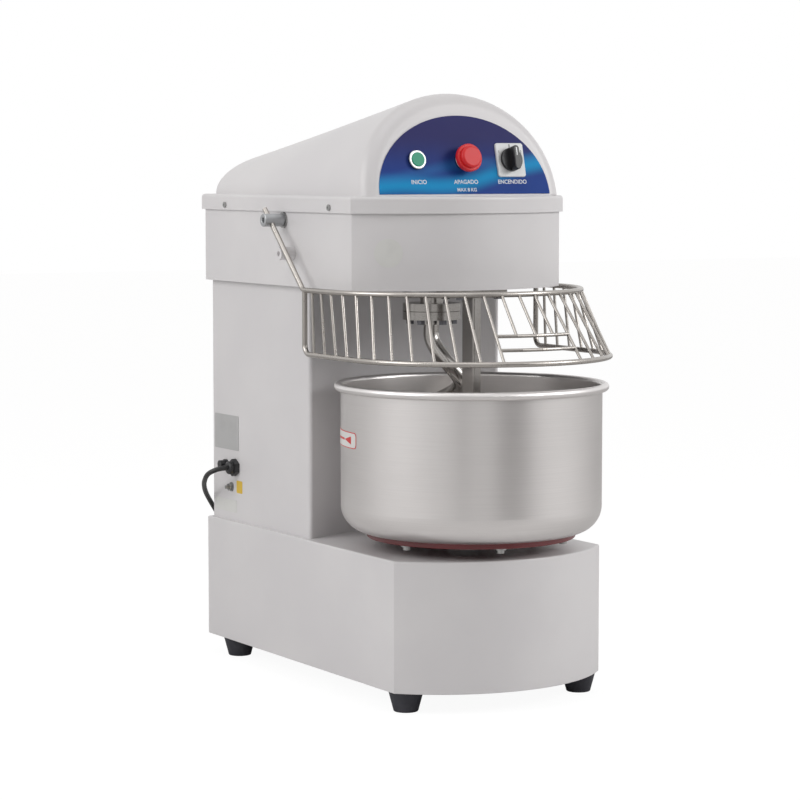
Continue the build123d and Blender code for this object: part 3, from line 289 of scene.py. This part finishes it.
# %% The panel's print
panel_low, panel_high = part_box("control_panel")
panel_tall = panel_high.z - panel_low.z
panel_wide = panel_high.x - panel_low.x
film = Finish("panel_film", (0.02, 0.06, 0.35), 0.5)
film.shader.inputs["Specular IOR Level"].default_value = 0.12
height = (film.z - panel_low.z) / panel_tall
across = (film.x - panel_low.x) / panel_wide
deep = film.blend(height.step(0.12, 0.78), (0.010, 0.050, 0.27), (0.026, 0.026, 0.125))
ripple = (across * 9.0 + 0.6).sine() * 0.03
low_curve = height - across * across * 0.34 - 0.08 - ripple
high_curve = height - across * 0.30 - 0.20 + ripple
glow = 1 - low_curve.size().step(0.0, 0.17)
veil = 1 - high_curve.size().step(0.0, 0.12)
with_glow = film.blend(glow * 0.95, deep, (0.002, 0.30, 0.62))
film.set("Base Color", film.blend(veil * 0.30, with_glow, (0.03, 0.25, 0.60)))
film.set("Roughness", film.noise(60.0) * 0.08 + 0.42)
film.bump(film.noise(500.0, 2.0), 0.00003, 0.3)
paint(film.material, "control_panel")

# %% [markdown]
# ## Words on the panel
# Words are text objects turned into meshes, so that they lie on the panel as thin ink. The
# panel leans back, and the direction in which its buttons travel gives that lean.

# %% The panel's directions
inward = Vector(joints["start_press"]["axis"])
outward = -inward
right = Vector((1.0, 0.0, 0.0))
upward = outward.cross(right)
selector_at = Vector(joints["selector_turn"]["pos_m"])
ink_white = moulded("white_ink", (0.80, 0.82, 0.84), (0.74, 0.77, 0.80), 0.4, 200.0, 0.00001)
ink_black = moulded("black_ink", (0.02, 0.02, 0.02), (0.03, 0.03, 0.03), 0.4, 200.0, 0.00001)


def settle(piece, matrix):
    """Puts a piece's place into its mesh and leaves the object at the origin."""
    piece.data.transform(matrix)
    piece.matrix_world = Matrix.Identity(4)


def words(text, size, x, up_from_controls, lift, ink, name, width=None):
    bpy.ops.object.select_all(action="DESELECT")
    bpy.ops.object.text_add()
    piece = bpy.context.object
    piece.data.body = text
    piece.data.size = size
    piece.data.align_x = "CENTER"
    piece.data.align_y = "CENTER"
    piece.data.extrude = 0.00006
    piece.data.offset = size * 0.012
    bpy.ops.object.convert(target="MESH")
    piece = bpy.context.object
    piece.name = name
    if width:
        piece.data.transform(Matrix.Diagonal((width / piece.dimensions.x, 1.0, 1.0, 1.0)))
    turn = Matrix((right, upward, outward)).transposed().to_4x4()
    at = selector_at + right * (x - selector_at.x) + upward * up_from_controls + outward * lift
    settle(piece, Matrix.Translation(at) @ turn)
    paint(ink, name)
    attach(piece, "frame")
    return piece


# %% Control names and dial figures
def middle_x(node):
    low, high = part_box(node)
    return (low.x + high.x) / 2


words("INICIO", 0.0088, middle_x("start_button"), -0.0335, 0.0001, ink_white, "label_start")
words("APAGADO", 0.0088, middle_x("stop_button"), -0.0335, 0.0001, ink_white, "label_stop")
words("ENCENDIDO", 0.0088, selector_at.x, -0.0335, 0.0001, ink_white, "label_selector")
words("MAX 8 KG", 0.0075, middle_x("stop_button"), -0.0455, 0.0001, ink_white, "label_load")
plate_lift = 0.0031
for figure, dx, dz in (("1", -0.0195, 0.012), ("0", 0.0, 0.0215), ("2", 0.0195, 0.012)):
    words(figure, 0.0062, selector_at.x + dx, dz, plate_lift, ink_black, "dial_" + figure)

# %% [markdown]
# ## Pointer line on the knob
# The knob's grip carries a white line that shows where it points. It rides on the knob, so
# it turns with it.

# %% The pointer
knob_low, knob_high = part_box("selector_knob")
bpy.ops.object.select_all(action="DESELECT")
bpy.ops.mesh.primitive_cube_add(size=1.0)
pointer = bpy.context.object
pointer.name = "knob_pointer"
pointer.data.transform(Matrix.Diagonal((0.0018, 0.012, 0.0004, 1.0)))
bevel = pointer.modifiers.new("rounded", "BEVEL")
bevel.width, bevel.segments = 0.00015, 2
bpy.ops.object.modifier_apply(modifier=bevel.name)
turn = Matrix((right, upward, outward)).transposed().to_4x4()
grip_top = max((Vector(v.co) - selector_at).dot(outward) for v in nodes["selector_knob"].data.vertices)
settle(pointer, Matrix.Translation(selector_at + upward * 0.009 + outward * grip_top) @ turn)
paint(ink_white, "knob_pointer")
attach(pointer, "selector")

# %% [markdown]
# ## Blank plates and stickers
# Makers rivet or stick small plates on the casing. They are left blank here. Each is a thin
# rounded sheet: a thin box with rounded corners, cut into strips and then laid on its surface.


# %% A helper for plates
def plate(name, width, tall, thick, material, lay, round_by=0.002):
    """A rounded sheet, cut into 24 strips, whose points lay() sends to the casing."""
    bpy.ops.object.select_all(action="DESELECT")
    bpy.ops.mesh.primitive_cube_add(size=1.0)
    piece = bpy.context.object
    piece.name = name
    piece.data.transform(Matrix.Diagonal((width, tall, thick, 1.0)))
    bpy.ops.object.mode_set(mode="EDIT")
    edges = bmesh.from_edit_mesh(piece.data)
    for edge in edges.edges:
        edge.select = abs(edge.verts[0].co.z - edge.verts[1].co.z) > thick / 2
    bmesh.update_edit_mesh(piece.data)
    bpy.ops.mesh.select_mode(type="EDGE")
    bpy.ops.mesh.bevel(offset=round_by, segments=6)
    cuts = 24
    for index in range(1, cuts):
        bpy.ops.mesh.select_all(action="SELECT")
        at = -width / 2 + width * index / cuts
        bpy.ops.mesh.bisect(plane_co=(at, 0, 0), plane_no=(1, 0, 0))
    bpy.ops.object.mode_set(mode="OBJECT")
    for vertex in piece.data.vertices:
        vertex.co = lay(vertex.co.x, vertex.co.y, vertex.co.z + thick / 2)
    bpy.ops.object.mode_set(mode="EDIT")
    bpy.ops.mesh.select_all(action="SELECT")
    bpy.ops.mesh.normals_make_consistent(inside=False)
    bpy.ops.object.mode_set(mode="OBJECT")
    paint(material, name)
    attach(piece, "frame")
    return piece


column_low, column_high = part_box("column_shell")


def on_column_left(y, z):
    """Lays a plate on the column's left side, upright, centred at y and z."""
    return lambda a, b, c: Vector((column_low.x - c, y - a, z + b))


label_paper = moulded("label_paper", (0.70, 0.70, 0.68), (0.64, 0.64, 0.62), 0.5, 400.0, 0.00002)
label_yellow = moulded("label_yellow", (0.75, 0.50, 0.06), (0.70, 0.46, 0.05), 0.5, 400.0, 0.00002)
label_grey = moulded("label_grey", (0.46, 0.46, 0.46), (0.41, 0.41, 0.41), 0.5, 400.0, 0.00002)
plate("warning_plate", 0.084, 0.056, 0.0006, label_grey, on_column_left(0.315, 0.366))
plate("rating_label", 0.076, 0.020, 0.0004, label_paper, on_column_left(0.319, 0.247))
plate("earth_label", 0.020, 0.020, 0.0004, label_yellow, on_column_left(0.271, 0.280))

# %% [markdown]
# The round plate sits on the head's curved front, so its points go onto the circle that the
# front follows. That circle comes from the head's own box: its half width and how far the
# front stands out before its corners.

# %% The round plate on the head
head_low, head_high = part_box("head_housing")
front_bulge = 0.074
head_half = (head_high.x - head_low.x) / 2
front_r = (head_half ** 2 + front_bulge ** 2) / (2 * front_bulge)
front_centre_y = head_low.y + front_r
plate_angle = asin(-0.140 / front_r)


def on_head_front(a, b, c):
    angle = plate_angle + a / front_r
    r = front_r + c
    return Vector((r * sin(angle), front_centre_y - r * cos(angle), 0.667 + b))


plate("round_plate", 0.0425, 0.0425, 0.0005, label_paper, on_head_front, 0.0211)

# %% [markdown]
# ## The turning arrow on the bowl
# A sticker on the bowl shows which way it turns: white, with a red outline and a red arrow.
# The shapes are thin sheets of their own, wrapped round the bowl a hair apart.

# %% The arrow sticker
bowl_low, bowl_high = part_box("bowl")
bowl_centre = (bowl_low + bowl_high) / 2
bowl_r = 0.196
sticker_angle = radians(162.7)


def on_bowl(lift, middle=0.0, rise=0.0):
    def lay(a, b, c):
        angle = sticker_angle + (a + middle) / bowl_r
        r = bowl_r + lift + c
        return Vector((bowl_centre.x + r * cos(angle), bowl_centre.y + r * sin(angle), 0.3925 + rise + b))
    return lay


ink_red = moulded("red_ink", (0.62, 0.02, 0.02), (0.55, 0.02, 0.02), 0.4, 200.0, 0.00001)
for name, size, lift, ink, middle in (
        ("arrow_border", (0.110, 0.0240), 0.0001, ink_red, 0.0),
        ("arrow_paper", (0.1074, 0.0214), 0.0003, label_paper, 0.0),
        ("arrow_shaft", (0.040, 0.0030), 0.0005, ink_red, -0.010)):
    piece = plate(name, size[0], size[1], 0.0002, ink, on_bowl(lift, middle), size[1] * 0.25)
    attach(piece, "turntable")

head_long = 0.026
head_lay = on_bowl(0.0006, 0.0255)


def on_arrow_head(a, b, c):
    """Narrows the sheet toward its left end, which makes the arrow's point."""
    return head_lay(a, b * max(0.05, 0.5 + a / head_long), c)


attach(plate("arrow_head", head_long, 0.0115, 0.0002, ink_red, on_arrow_head, 0.0002), "turntable")

# %% [markdown]
# ## The mains cord
# A cord is a fixed length of something flexible. It leaves its gland straight, bends down
# under its weight, goes round the column's rear edge and drops behind the base. What is left
# of it is wound in a small tied coil. The route's points control one smooth NURBS line, and
# the coil's turns are more points of the same line, worked out by a loop.

# %% The cord's route
gland_low, gland_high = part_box("cable_gland")
tube_low, tube_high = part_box("power_cord")
coil_low, coil_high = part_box("cord_coil")
plug_low, plug_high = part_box("mains_plug")
cord_r = 0.004
gland_end, gland_y, gland_z = gland_low.x, (gland_low.y + gland_high.y) / 2, (gland_low.z + gland_high.z) / 2
coil_x, coil_y = (coil_low.x + coil_high.x) / 2, (coil_low.y + coil_high.y) / 2
floor_z = coil_low.z + cord_r
line_y = coil_low.y + cord_r
route = [
    (gland_end, gland_y, gland_z),
    (gland_end - 0.010, gland_y, gland_z),
    (gland_end - 0.020, gland_y + 0.005, gland_z - 0.003),
    (gland_end - 0.027, gland_y + 0.015, gland_z - 0.009),
    (gland_end - 0.024, gland_y + 0.032, gland_z - 0.019),
    (gland_end - 0.014, gland_y + 0.057, gland_z - 0.032),
    (gland_end + 0.002, gland_y + 0.083, gland_z - 0.048),
    (gland_end + 0.020, gland_y + 0.103, gland_z - 0.065),
    (-0.150, 0.396, 0.224),
    (-0.134, 0.399, 0.198),
    (-0.126, 0.396, 0.156),
    (-0.122, 0.391, 0.110),
    (-0.112, 0.387, 0.066),
    (-0.096, 0.384, 0.030),
    (-0.072, 0.382, 0.009),
    (-0.046, line_y, floor_z),
    (-0.021, line_y, floor_z),
]

# %% The coil's turns and the finished cord
turn_radii = [0.0520, 0.0440, 0.0360, 0.0400, 0.0480, 0.0480]
turn_heights = [floor_z, floor_z, floor_z, floor_z + 0.0068, floor_z + 0.0068, floor_z + 0.0070]
per_turn = 14
rounding = 1.012
for step in range(1, 5 * per_turn):
    turns = step / per_turn
    whole, part = int(turns), turns - int(turns)
    r = (turn_radii[whole] * (1 - part) + turn_radii[whole + 1] * part) * rounding
    z = turn_heights[whole] * (1 - part) + turn_heights[whole + 1] * part
    angle = 2 * pi * turns - pi / 2
    route.append((coil_x + r * cos(angle), coil_y + r * sin(angle), z))
plug_start = (plug_low.x, coil_y - 0.048, 0.0125)
route += [(coil_x, coil_y - 0.048, 0.0122), (coil_x + 0.013, coil_y - 0.048, 0.0124), plug_start]
bpy.ops.object.select_all(action="DESELECT")
bpy.ops.curve.primitive_nurbs_path_add()
cord = bpy.context.object
cord.name = "mains_cord"
cord.data.splines.clear()
line = cord.data.splines.new("NURBS")
line.points.add(len(route) - 1)
for point, place in zip(line.points, route):
    point.co = (*place, 1.0)
line.order_u = 3
line.use_endpoint_u = True
cord.data.dimensions = "3D"
cord.data.bevel_depth = cord_r
cord.data.bevel_resolution = 5
cord.data.resolution_u = 6
cord.data.use_fill_caps = True
cord.data.materials.append(sheath)
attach(cord, "frame")
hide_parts("power_cord", "cord_coil")
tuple(route[0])

# %% [markdown]
# ## Floor, light and the white background
# The picture is a product shot: a white sweep, a broad lamp on the left, a weaker one in
# front and one above. The white comes from the world where the camera and reflections look,
# and a dimmer grey lights the machine, so pale enamel keeps its tone. Dark cards beside the
# camera give the steel something to reflect.

# %% Floor and cards
bpy.ops.object.select_all(action="DESELECT")
bpy.ops.mesh.primitive_plane_add(size=30)
floor = bpy.context.object
floor.name = "studio_floor"
sweep = Finish("studio_sweep", (0.86, 0.86, 0.86), 0.9)
seen = sweep.node("ShaderNodeLightPath")
shine = sweep.node("ShaderNodeEmission", {}, {"Color": (1, 1, 1, 1), "Strength": 1.09})
mixed = sweep.node("ShaderNodeMixShader", {}, {0: seen.number("Is Camera Ray") * 0.86,
                                               1: sweep.shader.outputs[0], 2: shine.out()})
sweep.tree.links.new(mixed.out(), sweep.tree.nodes["Material Output"].inputs["Surface"])
floor.data.materials.append(sweep.material)

card_paint = Finish("card_grey", (0.16, 0.15, 0.15), 0.9)
for place, size, turn_z in (((0.25, -3.2, 0.8), (1.5, 1.0, 1.9), 5), ((-1.9, -2.5, 0.9), (0.35, 1.0, 1.8), -37)):
    bpy.ops.mesh.primitive_plane_add(size=1.0)
    card = bpy.context.object
    card.data.transform(Matrix.Rotation(pi / 2, 4, "X"))
    card.data.transform(Matrix.Diagonal((size[0], 1.0, size[2], 1.0)))
    card.data.transform(Matrix.Translation(place) @ Matrix.Rotation(radians(turn_z), 4, "Z"))
    card.data.materials.append(card_paint.material)
    card.visible_camera = False
    card.visible_shadow = False

# %% World and lamps
world = bpy.data.worlds.new("studio")
bpy.context.scene.world = world
world.use_nodes = True
sky = world.node_tree
sky.nodes.clear()
light_path = sky.nodes.new("ShaderNodeLightPath")
dim = sky.nodes.new("ShaderNodeBackground")
dim.inputs["Color"].default_value = (1.0, 0.97, 0.95, 1.0)
dim.inputs["Strength"].default_value = 0.36
bright = sky.nodes.new("ShaderNodeBackground")
bright.inputs["Color"].default_value = (1.0, 1.0, 1.0, 1.0)
bright.inputs["Strength"].default_value = 1.0
either = sky.nodes.new("ShaderNodeMath")
either.operation = "MAXIMUM"
any_of = sky.nodes.new("ShaderNodeMath")
any_of.operation = "MAXIMUM"
choice = sky.nodes.new("ShaderNodeMixShader")
result = sky.nodes.new("ShaderNodeOutputWorld")
sky.links.new(light_path.outputs["Is Camera Ray"], either.inputs[0])
sky.links.new(light_path.outputs["Is Glossy Ray"], either.inputs[1])
sky.links.new(either.outputs[0], any_of.inputs[0])
sky.links.new(light_path.outputs["Is Transmission Ray"], any_of.inputs[1])
sky.links.new(any_of.outputs[0], choice.inputs[0])
sky.links.new(dim.outputs[0], choice.inputs[1])
sky.links.new(bright.outputs[0], choice.inputs[2])
sky.links.new(choice.outputs[0], result.inputs[0])


def lamp(name, place, aim, size, watts, colour=(1, 1, 1)):
    bpy.ops.object.light_add(type="AREA", location=place)
    made = bpy.context.object
    made.name = name
    made.data.size = size
    made.data.energy = watts
    made.data.color = colour
    made.rotation_mode = "QUATERNION"
    made.rotation_quaternion = (Vector(aim) - Vector(place)).to_track_quat("-Z", "Y")


lamp("lamp_left", (-3.0, 0.2, 2.0), (0, 0, 0.6), 2.0, 42)
lamp("lamp_right", (2.6, -2.4, 2.0), (0, 0, 0.6), 1.4, 46)
lamp("lamp_front", (1.0, -2.0, 1.5), (0, -0.1, 0.85), 0.8, 4)
lamp("lamp_top", (-0.4, -0.4, 3.0), (0, 0, 0.5), 1.6, 8)
bpy.context.scene.view_settings.view_transform = "Standard"
